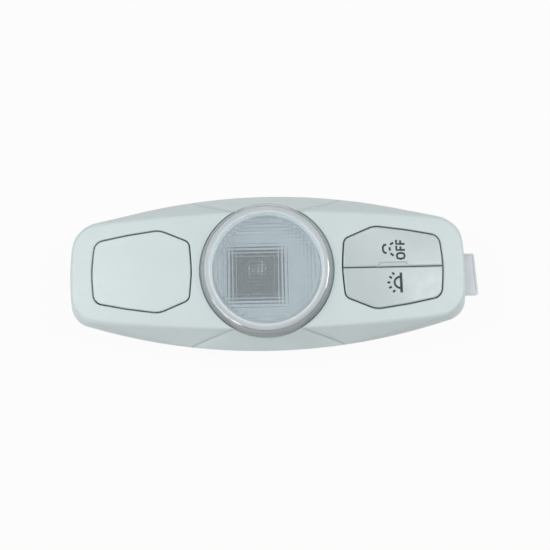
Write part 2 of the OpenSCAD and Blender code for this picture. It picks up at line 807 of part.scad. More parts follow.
clip_wall = -tub_left;
clip_in = clip_wall + carrier_t + clip_t / 2 + 0.3;
clip_path = [
    [clip_in, clip_z - clip_leg], [clip_in, clip_z], [clip_wall - clip_reach * 0.32, clip_z],
    [clip_wall - clip_reach * 0.88, clip_z - clip_h * 0.2],
    [clip_wall - clip_reach, clip_z - clip_h * 0.42],
    [clip_wall - clip_reach * 0.68, clip_z - clip_h * 0.86],
    [clip_wall - clip_reach * 0.18, clip_z - clip_h]];

module retaining_spring() {
    color([0.62, 0.64, 0.66]) translate([0, clip_w / 2, 0]) rotate([90, 0, 0])
        linear_extrude(clip_w) polygon(ribbon(clip_path, clip_t));
}

// Rear carrier: a plate inside the bezel, a deep tub, a shallow bay and a locating tongue
module carrier() {
    color([0.78, 0.82, 0.84]) difference() {
        union() {
            rear_plate(plate_inset, seat_z, plate_top);
            plate(tub_outline, shallow_z, seat_z + eps);
            plate(deep_outline, 0, seat_z);
            at_screws() translate([0, 0, seat_z]) cylinder(r = boss_r, h = pad_h);
            tongue();
        }
        difference() {
            union() {
                plate(inset(tub_outline, carrier_t), shallow_z + carrier_t, plate_top + 1);
                plate(inset(deep_outline, carrier_t), floor_z, plate_top + 1);
            }
            at_posts() cylinder(r = post_r, h = board_z);
            translate([-deep_left - 1, -tub_w / 2, 0]) cube([carrier_t, tub_w, shallow_z + carrier_t]);
        }
        at_posts() translate([0, 0, floor_z + post_floor])
            cylinder(r = board_screw_d / 2 + screw_fit, h = board_up);
        at_screws() {
            translate([0, 0, seat_z - 1]) cylinder(r = screw_d / 2 + screw_fit, h = pad_h + 2);
            translate([0, 0, seat_z - 1])
                cylinder(r = head_r + 2 * screw_fit, h = head_h + 2 * screw_fit + 1);
        }
        translate([plug_x - plug_l / 2 - slot_fit, -plug_w / 2 - slot_fit, -1])
            cube([plug_l + 2 * slot_fit, plug_w + 2 * slot_fit, floor_z + 2]);
        translate([clip_wall - 1, -clip_w / 2 - slot_fit, clip_z - clip_t / 2 - slot_fit])
            cube([carrier_t + 2, clip_w + 2 * slot_fit, clip_t + 2 * slot_fit]);
    }
}

module tongue() {
    root = tub_right - 1;
    end = tub_right + tongue_l;
    half = tongue_w / 2;
    edge = 1;
    foot = tongue_top - tongue_t + eps;
    translate([0, tongue_y, 0]) {
        plate([
            [root, -half, 0], [end + tongue_slant / 2, -half, edge],
            [end - tongue_slant / 2, half, edge], [root, half, 0]], tongue_top - tongue_t, tongue_top);
        for (y = [-half + edge, -rib_t / 2, half - edge - rib_t])
            translate([0, y + rib_t, 0]) rotate([90, 0, 0]) linear_extrude(rib_t)
                polygon([[root, foot], [root, foot - rib_h], [end - tongue_t - tongue_slant, foot]]);
    }
}

// Cross recess in the head of a screw, cut from its underside upwards
module recess(r, h) {
    arm = r * 0.6;
    for (a = [0, 90]) rotate([0, 0, a]) translate([-arm, -recess_w / 2, -1])
        cube([2 * arm, recess_w, h + 1]);
}

// Screws driven from the rear
module carrier_screws() {
    shank = under_z - seat_z - head_h - screw_end_gap;
    color([0.55, 0.56, 0.58]) at_screws() translate([0, 0, seat_z + 2 * screw_fit]) difference() {
        union() {
            cylinder(r = head_r, h = head_h);
            cylinder(d = screw_d, h = head_h + shank);
        }
        recess(head_r, recess_h);
    }
}

// Screws driven into the posts from above the board
module board_screws() {
    r = board_screw_d / 2 + board_head_over;
    low = floor_z + post_floor + board_screw_d / 2;
    color([0.55, 0.56, 0.58]) at_posts() difference() {
        union() {
            translate([0, 0, board_top]) cylinder(r = r, h = board_head_h);
            translate([0, 0, low]) cylinder(d = board_screw_d, h = board_top - low + eps);
        }
        translate([0, 0, board_top + board_head_h]) mirror([0, 0, 1]) recess(r, board_head_h / 2);
    }
}

bezel();
lens();
blank_cover();
door_key();
lamp_key();
door_plunger();
lamp_plunger();
door_spring();
lamp_spring();
door_switch();
lamp_switch();
reflector();
bulb();
bulb_holder();
feed_strip();
return_strip();
circuit_board();
connector_body();
connector_pins();
carrier();
carrier_screws();
board_screws();
retaining_spring();
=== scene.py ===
"""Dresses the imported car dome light: moulded pieces, prints, finishes, light and camera."""
import math

import bmesh
import bpy
from mathutils import Matrix, Quaternion, Vector


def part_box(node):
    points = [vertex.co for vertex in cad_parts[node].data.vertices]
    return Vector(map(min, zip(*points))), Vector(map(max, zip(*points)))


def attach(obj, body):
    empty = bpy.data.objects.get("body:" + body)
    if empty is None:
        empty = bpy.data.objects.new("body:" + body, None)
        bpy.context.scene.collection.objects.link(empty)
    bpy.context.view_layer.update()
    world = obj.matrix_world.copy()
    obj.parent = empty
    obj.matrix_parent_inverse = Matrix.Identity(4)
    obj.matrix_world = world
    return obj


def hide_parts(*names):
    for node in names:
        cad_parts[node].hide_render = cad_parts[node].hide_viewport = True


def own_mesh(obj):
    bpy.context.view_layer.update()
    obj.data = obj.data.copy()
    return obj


bl_info = {
    "name": "Car dome light",
    "version": (1, 0, 0),
    "blender": (4, 5, 0),
    "location": "View3D > Sidebar > Dome light",
    "description": "Moulded pieces, prints and finishes of a car dome light",
    "category": "Object",
}

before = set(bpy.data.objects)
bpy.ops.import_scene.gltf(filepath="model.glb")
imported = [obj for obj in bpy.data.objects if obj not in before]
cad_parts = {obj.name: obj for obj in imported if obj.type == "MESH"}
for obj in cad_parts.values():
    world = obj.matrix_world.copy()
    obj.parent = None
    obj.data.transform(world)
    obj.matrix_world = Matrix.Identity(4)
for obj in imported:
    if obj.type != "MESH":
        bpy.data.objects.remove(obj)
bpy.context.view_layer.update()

MM = 0.001

# The solids' sizes and places, in mm: the middle of the keys, half the finger ridge, the
# bezel's face, the keys' tops, the lens's front wall and its field of prisms
SWITCH_X = 56.0
RIDGE_HALF = 7.65
FACE_Z = 39.0
KEY_TOP = 39.2
LENS_WALL = 2.2
FIELD_RADIUS = 23.3

# Where the bowed middle facets meet the wings, in mm: the farthest point along the lamp, the
# nearest to its middle line, and the lowest
FACET_X = 36.0
FACET_Y = 24.5
FACET_Z = 27.3

# Heights this close, in mm, are the same, and so are points this close, in metres. Points this
# close to a cut, in metres, lie on it. A face points up where its normal's Z is past this share.
LEVEL = 0.01
MERGED = 2e-6
ON_CUT = 1e-7
UPWARD = 0.99

# Strokes of the prints, in mm: the open-door sign, the word OFF and the rays of the lamp sign
DOOR_SIGN = [
    [(53.3, 9.9), (52.3, 9.75), (51.75, 8.9), (51.75, 7.2), (52.25, 6.4), (53.3, 6.15)],
    [(54.75, 8.75), (54.75, 7.1)],
    [(55.0, 9.9), (56.4, 10.8)],
    [(55.0, 6.0), (56.4, 4.9)]]
WORD_OFF = [
    [(57.75, 4.75), (58.1, 5.75), (59.5, 6.1), (60.9, 5.75), (61.25, 4.75), (60.9, 3.75),
     (59.5, 3.4), (58.1, 3.75), (57.75, 4.75)],
    [(61.4, 7.4), (57.7, 7.4), (57.7, 9.3)], [(59.5, 7.4), (59.5, 9.0)],
    [(61.4, 10.1), (57.7, 10.1), (57.7, 12.0)], [(59.5, 10.1), (59.5, 11.7)]]
LAMP_SIGN = [
    [(55.4, -2.6), (56.3, -3.6)], [(54.1, -4.4), (55.2, -5.1)], [(53.1, -7.0), (54.4, -7.0)],
    [(53.8, -9.5), (55.0, -8.9)], [(55.5, -11.4), (56.4, -10.4)]]

# Name, place and size in metres, power in watts and lean in degrees of each area light
LIGHTS = (
    ("left_light", (-0.42, 0.09, 0.74), (0.3, 0.4), 2.9, 0),
    ("right_light", (0.47, 0.05, 0.74), (0.26, 0.4), 2.35, 0),
    ("key_light", (0.235, 0.085, 0.85), (0.06, 0.04), 0.16, 0),
    ("door_light", (0.16, 0.172, 0.85), (0.06, 0.015), 0.08, 0),
    ("low_light_left", (-0.468, -0.42, 0.042), (0.45, 0.03), 0.6, 6.5),
    ("low_light_right", (0.65, 0.0, 0.02), (0.32, 0.03), 0.36, -6.8))


class LampSizes(bpy.types.PropertyGroup):
    """Sizes that dress the lamp"""
    edge_round: bpy.props.FloatProperty(
        name="Edge rounding", description="Rounding of the bezel's window edges",
        default=0.0005, min=0, unit="LENGTH")
    crease_width: bpy.props.FloatProperty(
        name="Crease width", description="Width of the line between wings and middle facets",
        default=0.0013, min=0, unit="LENGTH")
    crease_depth: bpy.props.FloatProperty(
        name="Crease depth", description="Depth of the line between wings and middle facets",
        default=0.0007, min=0, unit="LENGTH")
    key_round: bpy.props.FloatProperty(
        name="Key rounding", description="Rounding of the key and cover edges",
        default=0.0006, min=0, unit="LENGTH")
    prism_pitch: bpy.props.FloatProperty(
        name="Prism pitch", description="Distance between the rows inside the lens",
        default=0.0016, min=0.001, unit="LENGTH")
    prism_depth: bpy.props.FloatProperty(
        name="Prism depth", description="Depth of one row inside the lens", default=0.00042,
        min=0, unit="LENGTH")
    tongue_round: bpy.props.FloatProperty(
        name="Tongue rounding", description="Rounding of the locating tongue", default=0.0003,
        min=0, unit="LENGTH")
    rim_round: bpy.props.FloatProperty(
        name="Rim rounding", description="Rounding of the lens's rim", default=0.0002, min=0,
        unit="LENGTH")
    ink_width: bpy.props.FloatProperty(
        name="Print stroke", description="Width of the printed strokes", default=0.00095, min=0,
        unit="LENGTH")
    ink_height: bpy.props.FloatProperty(
        name="Print height", description="Thickness of the print", default=0.00008, min=0,
        unit="LENGTH")


class LampColours(bpy.types.PropertyGroup):
    """Colours of the lamp"""
    bezel: bpy.props.FloatVectorProperty(
        name="Bezel", description="Colour of the satin bezel and the blank cover",
        subtype="COLOR", size=3, default=(0.635, 0.72, 0.72))
    keys: bpy.props.FloatVectorProperty(
        name="Keys", description="Colour of the glossy keys", subtype="COLOR", size=3,
        default=(0.535, 0.605, 0.615))
    ink: bpy.props.FloatVectorProperty(
        name="Print", description="Colour of the printed signs", subtype="COLOR", size=3,
        default=(0.02, 0.035, 0.04))
    carrier: bpy.props.FloatVectorProperty(
        name="Carrier", description="Colour of the milky carrier", subtype="COLOR", size=3,
        default=(0.72, 0.77, 0.80))
    reflector: bpy.props.FloatVectorProperty(
        name="Reflector", description="Colour of the reflector", subtype="COLOR", size=3,
        default=(0.50, 0.515, 0.515))


def sizes():
    """The lamp's sizes, in metres."""
    return bpy.context.scene.lamp_sizes


def colours():
    """The lamp's colours."""
    return bpy.context.scene.lamp_colours


class Finish:
    """Builds a node material step by step."""

    def __init__(self, name):
        self.material = bpy.data.materials.new(name)
        self.material.use_nodes = True
        self.tree = self.material.node_tree
        self.shader = self.tree.nodes["Principled BSDF"]
        self.coords = self.tree.nodes.new("ShaderNodeTexCoord")

    def add(self, kind, **values):
        """A new node with its options and constant inputs set."""
        node = self.tree.nodes.new(kind)
        for key, value in values.items():
            if hasattr(node, key):
                setattr(node, key, value)
            else:
                node.inputs[key].default_value = value
        return node

    def link(self, source, target):
        """Joins two sockets."""
        self.tree.links.new(source, target)

    def noise(self, size, detail=2.0):
        """Noise whose features are about size metres across."""
        node = self.add("ShaderNodeTexNoise", Scale=1 / size, Detail=detail)
        self.link(self.coords.outputs["Object"], node.inputs["Vector"])
        return node.outputs["Fac"]

    def spread(self, source, low, high):
        """Spreads the range in which most of a noise lies from low to high."""
        node = self.add("ShaderNodeMapRange")
        ends = {"From Min": 0.3, "From Max": 0.7, "To Min": low, "To Max": high}
        for key, value in ends.items():
            node.inputs[key].default_value = value
        self.link(source, node.inputs["Value"])
        return node.outputs["Result"]

    def height(self):
        """Height above the lamp's rear plane."""
        split = self.add("ShaderNodeSeparateXYZ")
        self.link(self.coords.outputs["Object"], split.inputs[0])
        return split.outputs["Z"]

    def radius(self):
        """Distance from the lens axis."""
        flat = self.add("ShaderNodeVectorMath", operation="MULTIPLY")
        flat.inputs[1].default_value = (1, 1, 0)
        self.link(self.coords.outputs["Object"], flat.inputs[0])
        length = self.add("ShaderNodeVectorMath", operation="LENGTH")
        self.link(flat.outputs[0], length.inputs[0])
        return length.outputs["Value"]

    def step(self, radius, inside, outside):
        """Goes from one value to another at a radius from the lens axis."""
        blend = 0.3 * MM
        node = self.add("ShaderNodeMapRange")
        node.inputs["From Min"].default_value = radius - blend
        node.inputs["From Max"].default_value = radius + blend
        self.link(self.radius(), node.inputs["Value"])
        for name, value in (("To Min", inside), ("To Max", outside)):
            if isinstance(value, float):
                node.inputs[name].default_value = value
            else:
                self.link(value, node.inputs[name])
        return node.outputs["Result"]

    def over(self, source, start, end, colour):
        """Lays another colour over the base colour where source runs from start to end."""
        share = self.add("ShaderNodeMapRange")
        share.inputs["From Min"].default_value = start
        share.inputs["From Max"].default_value = end
        self.link(source, share.inputs["Value"])
        mix = self.add("ShaderNodeMix", data_type="RGBA")
        mix.inputs["B"].default_value = (*colour, 1)
        self.link(share.outputs["Result"], mix.inputs["Factor"])
        self.link(self.shader.inputs["Base Color"].links[0].from_socket, mix.inputs["A"])
        self.link(mix.outputs["Result"], self.shader.inputs["Base Color"])

    def colour(self, colour, change, size):
        """Base colour that drifts by a share, change, over patches of that size."""
        mix = self.add("ShaderNodeMix", data_type="RGBA")
        mix.inputs["A"].default_value = (*[c * (1 - change) for c in colour], 1)
        mix.inputs["B"].default_value = (*[min(1, c * (1 + change)) for c in colour], 1)
        self.link(self.spread(self.noise(size), 0, 1), mix.inputs["Factor"])
        self.link(mix.outputs["Result"], self.shader.inputs["Base Color"])

    def roughness(self, low, high, size):
        """Roughness that drifts from low to high over patches of that size."""
        noise = self.noise(size, detail=3.0)
        self.link(self.spread(noise, low, high), self.shader.inputs["Roughness"])

    def bump(self, depth, size, detail=2.0):
        """Grain of a depth and size, in metres."""
        node = self.add("ShaderNodeBump", Distance=depth, Strength=1.0)
        self.link(self.noise(size, detail), node.inputs["Height"])
        self.link(node.outputs["Normal"], self.shader.inputs["Normal"])

    def fixed(self, **values):
        """Sets the shader's own sockets."""
        for key, value in values.items():
            self.shader.inputs[key.replace("_", " ")].default_value = value
        return self


def plastic(name, colour, low, high, grain=0.0004, depth=0.000008, change=0.015):
    """Moulded plastic whose roughness runs from low to high, with grain of a size and depth."""
    finish = Finish(name)
    finish.colour(colour, change, size=0.02)
    finish.roughness(low, high, size=0.004)
    finish.bump(depth, size=grain)
    finish.fixed(IOR=1.49)
    return finish.material


def metal(name, colour, low, high):
    """Plain metal whose roughness runs from low to high."""
    finish = Finish(name)
    finish.colour(colour, change=0.05, size=0.003)
    finish.roughness(low, high, size=0.0015)
    finish.bump(depth=0.000006, size=0.0003, detail=3.0)
    finish.fixed(Metallic=1.0)
    return finish.material


def clear(name, tint, low, high, haze=0.0, frost=None, rim=None, smoke=None, painted_rings=()):
    """Clear moulded plastic or glass. It lets the lamps' light through to what lies behind it.

    low and high are the range of its roughness and haze is its milky share. frost is the radius
    and roughness of a frosted field, and rim is a radius with the milky share past it. smoke is
    the colour and density of the light that the plastic takes away. painted_rings are radii about
    the lens axis, each with the colour from there outwards: painted light and shade on the one
    plastic, a paler band for the light seen in it and a darker rim and side wall for their shade."""
    blend = 0.2 * MM
    finish = Finish(name)
    finish.colour(tint, change=0.01, size=0.01)
    # The rings lay painted light and shade over the tint, each from its radius outwards.
    for radius, ring in painted_rings:
        finish.over(finish.radius(), radius - blend, radius + blend, ring)
    finish.roughness(low, high, size=0.006)
    finish.bump(depth=0.000001, size=0.004)
    finish.fixed(IOR=1.5, Transmission_Weight=1.0 - haze)
    if frost:
        polished = finish.shader.inputs["Roughness"].links[0].from_socket
        finish.link(finish.step(frost[0], frost[1], polished), finish.shader.inputs["Roughness"])
    if rim:
        milk = finish.step(rim[0], 1.0 - haze, 1.0 - rim[1])
        finish.link(milk, finish.shader.inputs["Transmission Weight"])
    through = finish.add("ShaderNodeBsdfTransparent", Color=(*tint, 1))
    path = finish.add("ShaderNodeLightPath")
    mix = finish.add("ShaderNodeMixShader")
    finish.link(path.outputs["Is Shadow Ray"], mix.inputs[0])
    finish.link(finish.shader.outputs[0], mix.inputs[1])
    finish.link(through.outputs[0], mix.inputs[2])
    output = finish.tree.nodes["Material Output"]
    finish.link(mix.outputs[0], output.inputs["Surface"])
    if smoke:
        taken = finish.add("ShaderNodeVolumeAbsorption", Color=(*smoke[0], 1), Density=smoke[1])
        finish.link(taken.outputs[0], output.inputs["Volume"])
    return finish.material


def paint(node, material):
    """Gives a carried-over CAD node its finish."""
    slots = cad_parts[node].data.materials
    slots.clear()
    slots.append(material)


def piece(bm, name, material, body, slot, *replaced, sharp=35):
    """Makes a finished piece of a bmesh, smooth up to the sharp angle, riding on a body."""
    limit = math.radians(sharp)
    for edge in bm.edges:
        if len(edge.link_faces) == 2 and edge.calc_face_angle(0) > limit:
            edge.smooth = False
    for face in bm.faces:
        face.smooth = True
    mesh = bpy.data.meshes.new(name)
    bm.to_mesh(mesh)
    bm.free()
    mesh.materials.append(material)
    thing = bpy.data.objects.new(name, mesh)
    bpy.context.scene.collection.objects.link(thing)
    weigh = thing.modifiers.new("Even shading", "WEIGHTED_NORMAL")
    weigh.keep_sharp = True
    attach(thing, body)
    if replaced:
        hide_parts(*replaced)
    return thing


def copy_of(node, flat=0.6):
    """The CAD node's shape, with its points merged and its faces joined where they bend by less
    than flat degrees."""
    bm = bmesh.new()
    bm.from_mesh(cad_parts[node].data)
    bmesh.ops.remove_doubles(bm, verts=bm.verts, dist=MERGED)
    bmesh.ops.dissolve_limit(
        bm, angle_limit=math.radians(flat), use_dissolve_boundaries=False, verts=bm.verts,
        edges=bm.edges)
    return bm


def corners(bm, limit, chosen):
    """Edges that bend by more than limit degrees and whose two ends, in mm, are chosen."""
    return [e for e in bm.edges
            if len(e.link_faces) == 2 and e.calc_face_angle(0) > math.radians(limit)
            and all(chosen(v.co / MM) for v in e.verts)]


def soften(bm, width, edges, segments=3, clamp=True):
    """Rounds edges over a width, in metres, to each side."""
    return bmesh.ops.bevel(
        bm, geom=edges, offset=width, offset_type="OFFSET", segments=segments, profile=0.5,
        affect="EDGES", clamp_overlap=clamp, material=-1)


def groove(bm, edges, width, depth):
    """Sinks a fine line of a width and depth along edges."""
    made = soften(bm, width / 2, edges, 2, clamp=False)
    ring = set(made["faces"])
    middle = [v for v in made["verts"] if all(face in ring for face in v.link_faces)]
    for v, way in [(v, v.normal.copy()) for v in middle]:
        v.co -= way * depth


def ink_stroke(points, height, closed=False):
    """A printed stroke: a flattened round bead along points in mm, converted to a mesh."""
    curve = bpy.data.curves.new("stroke", "CURVE")
    curve.dimensions = "3D"
    curve.bevel_depth = sizes().ink_width / 2
    curve.bevel_resolution = 3
    curve.use_fill_caps = True
    spline = curve.splines.new("POLY")
    spline.points.add(len(points) - 1 - closed)
    for point, place in zip(spline.points, points):
        point.co = (place[0] * MM, place[1] * MM, 0, 1)
    spline.use_cyclic_u = closed
    thing = bpy.data.objects.new("stroke", curve)
    bpy.context.scene.collection.objects.link(thing)
    graph = bpy.context.evaluated_depsgraph_get()
    mesh = bpy.data.meshes.new_from_object(thing.evaluated_get(graph))
    flat = Matrix.Diagonal((1, 1, sizes().ink_height / (sizes().ink_width / 2), 1))
    mesh.transform(Matrix.Translation((0, 0, height)) @ flat)
    bpy.data.objects.remove(thing)
    bpy.data.curves.remove(curve)
    return mesh


def print_of(name, strokes, body):
    """A printed sign on a key. A stroke that ends where it starts is closed."""
    bm = bmesh.new()
    for stroke in strokes:
        closed = stroke[0] == stroke[-1]
        mesh = ink_stroke(stroke, KEY_TOP * MM, closed)
        bm.from_mesh(mesh)
        bpy.data.meshes.remove(mesh)
    ink = plastic(name + "_ink", colours().ink, 0.35, 0.5, depth=0.000003)
    return piece(bm, name, ink, body, "key_plastic")


class LAMP_OT_stage(bpy.types.Operator):
    """Pale floor, soft light, background and camera"""
    bl_idname = "lamp.stage"
    bl_label = "Stage"

    def execute(self, context):
        scene = context.scene
        floor_half, cells = 3, 8
        bm = bmesh.new()
        bmesh.ops.create_grid(bm, x_segments=cells, y_segments=cells, size=floor_half)
        mesh = bpy.data.meshes.new("floor")
        bm.to_mesh(mesh)
        bm.free()
        floor = bpy.data.objects.new("floor", mesh)
        scene.collection.objects.link(floor)
        mesh.materials.append(self.floor_finish())
        for values in LIGHTS:
            self.light(*values)
        self.world(scene)
        self.camera(scene)
        scene.view_settings.view_transform = "Standard"
        return {"FINISHED"}

    def floor_finish(self):
        """Grey to the lamp's diffuse light and nearly white where it is seen, with the lamp's
        shadow in the share that doesn't glow."""
        glow_share = 0.94
        finish = Finish("floor_white")
        finish.colour((0.64, 0.64, 0.64), change=0.005, size=0.2)
        finish.roughness(0.7, 0.8, size=0.05)
        finish.bump(depth=0.00002, size=0.002)
        glow = finish.add("ShaderNodeEmission", Color=(1, 1, 1, 1), Strength=1.0)
        mix = finish.add("ShaderNodeMixShader")
        seen = seen_rays(finish.tree)
        share = finish.add("ShaderNodeMath", operation="MULTIPLY")
        finish.link(seen, share.inputs[0])
        share.inputs[1].default_value = glow_share
        finish.link(share.outputs[0], mix.inputs[0])
        finish.link(finish.shader.outputs[0], mix.inputs[1])
        finish.link(glow.outputs[0], mix.inputs[2])
        finish.link(mix.outputs[0], finish.tree.nodes["Material Output"].inputs["Surface"])
        return finish.material

    def light(self, name, place, size, power, lean):
        """Area light aimed at the lamp, turned by lean degrees about its aim."""
        target = (0, 0, 0.03)
        data = bpy.data.lights.new(name, "AREA")
        data.shape = "RECTANGLE"
        data.size, data.size_y = size
        data.energy = power
        lamp = bpy.data.objects.new(name, data)
        lamp.location = place
        aim = Vector(target) - Vector(place)
        turn = Quaternion((0, 0, 1), math.radians(lean))
        lamp.rotation_euler = (aim.to_track_quat("-Z", "Y") @ turn).to_euler()
        bpy.context.scene.collection.objects.link(lamp)

    def world(self, scene):
        """Dim white room, white where the camera sees it."""
        room, backdrop = 0.3, 1.0
        world = bpy.data.worlds.new("studio")
        world.use_nodes = True
        tree = world.node_tree
        back = tree.nodes["Background"]
        back.inputs["Color"].default_value = (1, 1, 1, 1)
        strength = tree.nodes.new("ShaderNodeMapRange")
        strength.inputs["To Min"].default_value = room
        strength.inputs["To Max"].default_value = backdrop
        path = tree.nodes.new("ShaderNodeLightPath")
        tree.links.new(path.outputs["Is Camera Ray"], strength.inputs["Value"])
        tree.links.new(strength.outputs["Result"], back.inputs["Strength"])
        scene.world = world

    def camera(self, scene):
        """Camera at the photo's angle: turns in radians, distance in mm, and the focus, centre
        and side of the frame in pixels."""
        tilt, yaw, roll = -0.14040692, -0.01450914, 0.01833539
        distance, focus = 320.0, 721.098
        centre_x, centre_y = 266.746, 269.241
        side = 550
        turn = (Matrix.Rotation(roll, 3, "Z") @ Matrix.Rotation(tilt, 3, "X")
                @ Matrix.Rotation(yaw, 3, "Y")).transposed()
        data = bpy.data.cameras.new("photo_view")
        data.sensor_width = 36
        data.lens = focus / side * data.sensor_width
        data.shift_x = (side / 2 - centre_x) / side
        data.shift_y = (centre_y - side / 2) / side
        data.clip_start = 0.01
        camera = bpy.data.objects.new("photo_view", data)
        place = Vector((0, 0, FACE_Z)) + turn @ Vector((0, 0, distance))
        camera.matrix_world = Matrix.Translation(place * MM) @ turn.to_4x4()
        scene.collection.objects.link(camera)
        scene.camera = camera


def seen_rays(tree):
    """1 for camera, glossy and transmission rays, else 0."""
    path = tree.nodes.new("ShaderNodeLightPath")
    total = path.outputs["Is Camera Ray"]
    for name in ("Is Glossy Ray", "Is Transmission Ray"):
        most = tree.nodes.new("ShaderNodeMath")
        most.operation = "MAXIMUM"
        tree.links.new(total, most.inputs[0])
        tree.links.new(path.outputs[name], most.inputs[1])
        total = most.outputs[0]
    return total


def on_flank(place):
    """Whether a place, in mm, is on the flanks where the middle facets meet the wings."""
    return abs(place.x) < FACET_X and abs(place.y) > FACET_Y and place.z > FACET_Z


class LAMP_OT_bezel(bpy.types.Operator):
    """Satin bezel with rounded window edges and creased flanks"""
    bl_idname = "lamp.bezel"
    bl_label = "Bezel"

    def execute(self, context):
        # Points closer than sliver are joined, so that a crease is one edge from end to end.
        # A crease bends by gentle to steep degrees, and the windows lie past the lens's hole.
        sliver, shortest = 0.4 * MM, 3 * MM
        gentle, steep = 4, 12
        past_lens = 32
        bm = copy_of("bezel")
        flank = [v for v in bm.verts if on_flank(v.co / MM)]
        bmesh.ops.remove_doubles(bm, verts=flank, dist=sliver)
        windows = corners(
            bm, 60, lambda p: abs(p.z - FACE_Z) < LEVEL and abs(p.x) > past_lens)
        soften(bm, sizes().edge_round, windows)
        creases = [e for e in corners(bm, gentle, on_flank)
                   if e.calc_length() > shortest and e.calc_face_angle(0) < math.radians(steep)]
        groove(bm, creases, sizes().crease_width, sizes().crease_depth)
        satin = plastic(
            "bezel_satin", colours().bezel, 0.38, 0.46, grain=0.00035, depth=0.00001)
        piece(bm, "bezel_moulding", satin, "root", "bezel_plastic", "bezel", sharp=24)
        return {"FINISHED"}


class LAMP_OT_keys(bpy.types.Operator):
    """Two push keys and the blank cover"""
    bl_idname = "lamp.keys"
    bl_label = "Keys and cover"

    def execute(self, context):
        # The gap between the keys is drawn in to a share of its width, and a fine line is sunk
        # along the foot of the finger ridge.
        split_half, split_share = 0.3 * MM, 0.6
        line_half, line_start, line_end, line_depth = 6.4, 1.85, 2.2, 0.35
        gloss = plastic("key_gloss", colours().keys, 0.16, 0.22, grain=0.001, depth=0.000004)
        satin = plastic("cover_satin", colours().bezel, 0.34, 0.42, grain=0.00035)
        lamp_key = copy_of("lamp_key")
        door_key = lamp_key.copy()
        bmesh.ops.scale(door_key, vec=(1, -1, 1), verts=door_key.verts)
        bmesh.ops.recalc_face_normals(door_key, faces=door_key.faces)
        cover = copy_of("blank_cover")
        for bm in (lamp_key, door_key):
            for v in bm.verts:
                if abs(v.co.y) < split_half:
                    v.co.y *= split_share
        for bm in (lamp_key, door_key, cover):
            rim = corners(bm, 60, lambda p: abs(p.z - KEY_TOP) < LEVEL)
            soften(bm, sizes().key_round, rim)
        self.add_ridge(door_key)
        self.sink(door_key, (SWITCH_X - line_half, line_start),
                  (SWITCH_X + line_half, line_end), line_depth)
        piece(door_key, "door_key_moulding", gloss, "door_key_body", "key_plastic", "door_key")
        piece(lamp_key, "lamp_key_moulding", gloss, "lamp_key_body", "key_plastic", "lamp_key")
        piece(cover, "blank_cover_moulding", satin, "root", "key_plastic", "blank_cover")
        return {"FINISHED"}

    def add_ridge(self, bm):
        """Finger ridge along the inner edge of the door key, with sloping ends."""
        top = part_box("door_key")[1].z / MM
        inner, outer, foot = 0.05, 1.95, KEY_TOP - 0.3
        back_slope, top_slope, rounding = 1.6, 0.8, 0.55
        made = bmesh.ops.create_cube(bm, size=1)["verts"]
        for v in made:
            end = 1 if v.co.x > 0 else -1
            back, high = v.co.y > 0, v.co.z > 0
            half = RIDGE_HALF - (back_slope if back else 0) - (top_slope if high else 0)
            v.co = Vector((
                SWITCH_X + end * half, outer if back else inner, top if high else foot)) * MM
        edges = {e for v in made for e in v.link_edges
                 if max(end.co.z for end in e.verts) > KEY_TOP * MM}
        soften(bm, rounding * MM, list(edges))

    def sink(self, bm, low, high, depth):
        """Sinks the flat top between two corners by a depth, in mm."""
        for axis, way in enumerate((Vector((1, 0, 0)), Vector((0, 1, 0)))):
            for place in (low[axis], high[axis]):
                bmesh.ops.bisect_plane(
                    bm, geom=bm.verts[:] + bm.edges[:] + bm.faces[:], dist=ON_CUT,
                    plane_co=way * place * MM, plane_no=way)
        floor = []
        for face in bm.faces:
            x, y, z = face.calc_center_median() / MM
            if (face.normal.z > UPWARD and abs(z - KEY_TOP) < LEVEL
                    and low[0] < x < high[0] and low[1] < y < high[1]):
                floor.append(face)
        made = bmesh.ops.extrude_face_region(bm, geom=floor)["geom"]
        bmesh.ops.delete(bm, geom=[f for f in floor if f.is_valid], context="FACES_ONLY")
        lowered = [v for v in made if isinstance(v, bmesh.types.BMVert)]
        bmesh.ops.translate(bm, vec=(0, 0, -depth * MM), verts=lowered)
        bm.normal_update()


class LAMP_OT_prints(bpy.types.Operator):
    """Printed signs on the keys"""
    bl_idname = "lamp.prints"
    bl_label = "Prints"

    def execute(self, context):
        print_of("door_sign", DOOR_SIGN + WORD_OFF, "door_key_body")
        foot_x, middle_y, height, half_width = 59.0, -7.05, 2.7, 2.5
        dome = [(foot_x - height * math.sin(math.radians(turn)),
                 middle_y + half_width * math.cos(math.radians(turn)))
                for turn in range(0, 181, 15)]
        bar_start, bar_end = -2.7, -11.6
        bar = [[(x, bar_start), (x, bar_end)] for x in (59.1, 59.35)]
        print_of("lamp_sign", LAMP_SIGN + [dome] + bar, "lamp_key_body")
        return {"FINISHED"}


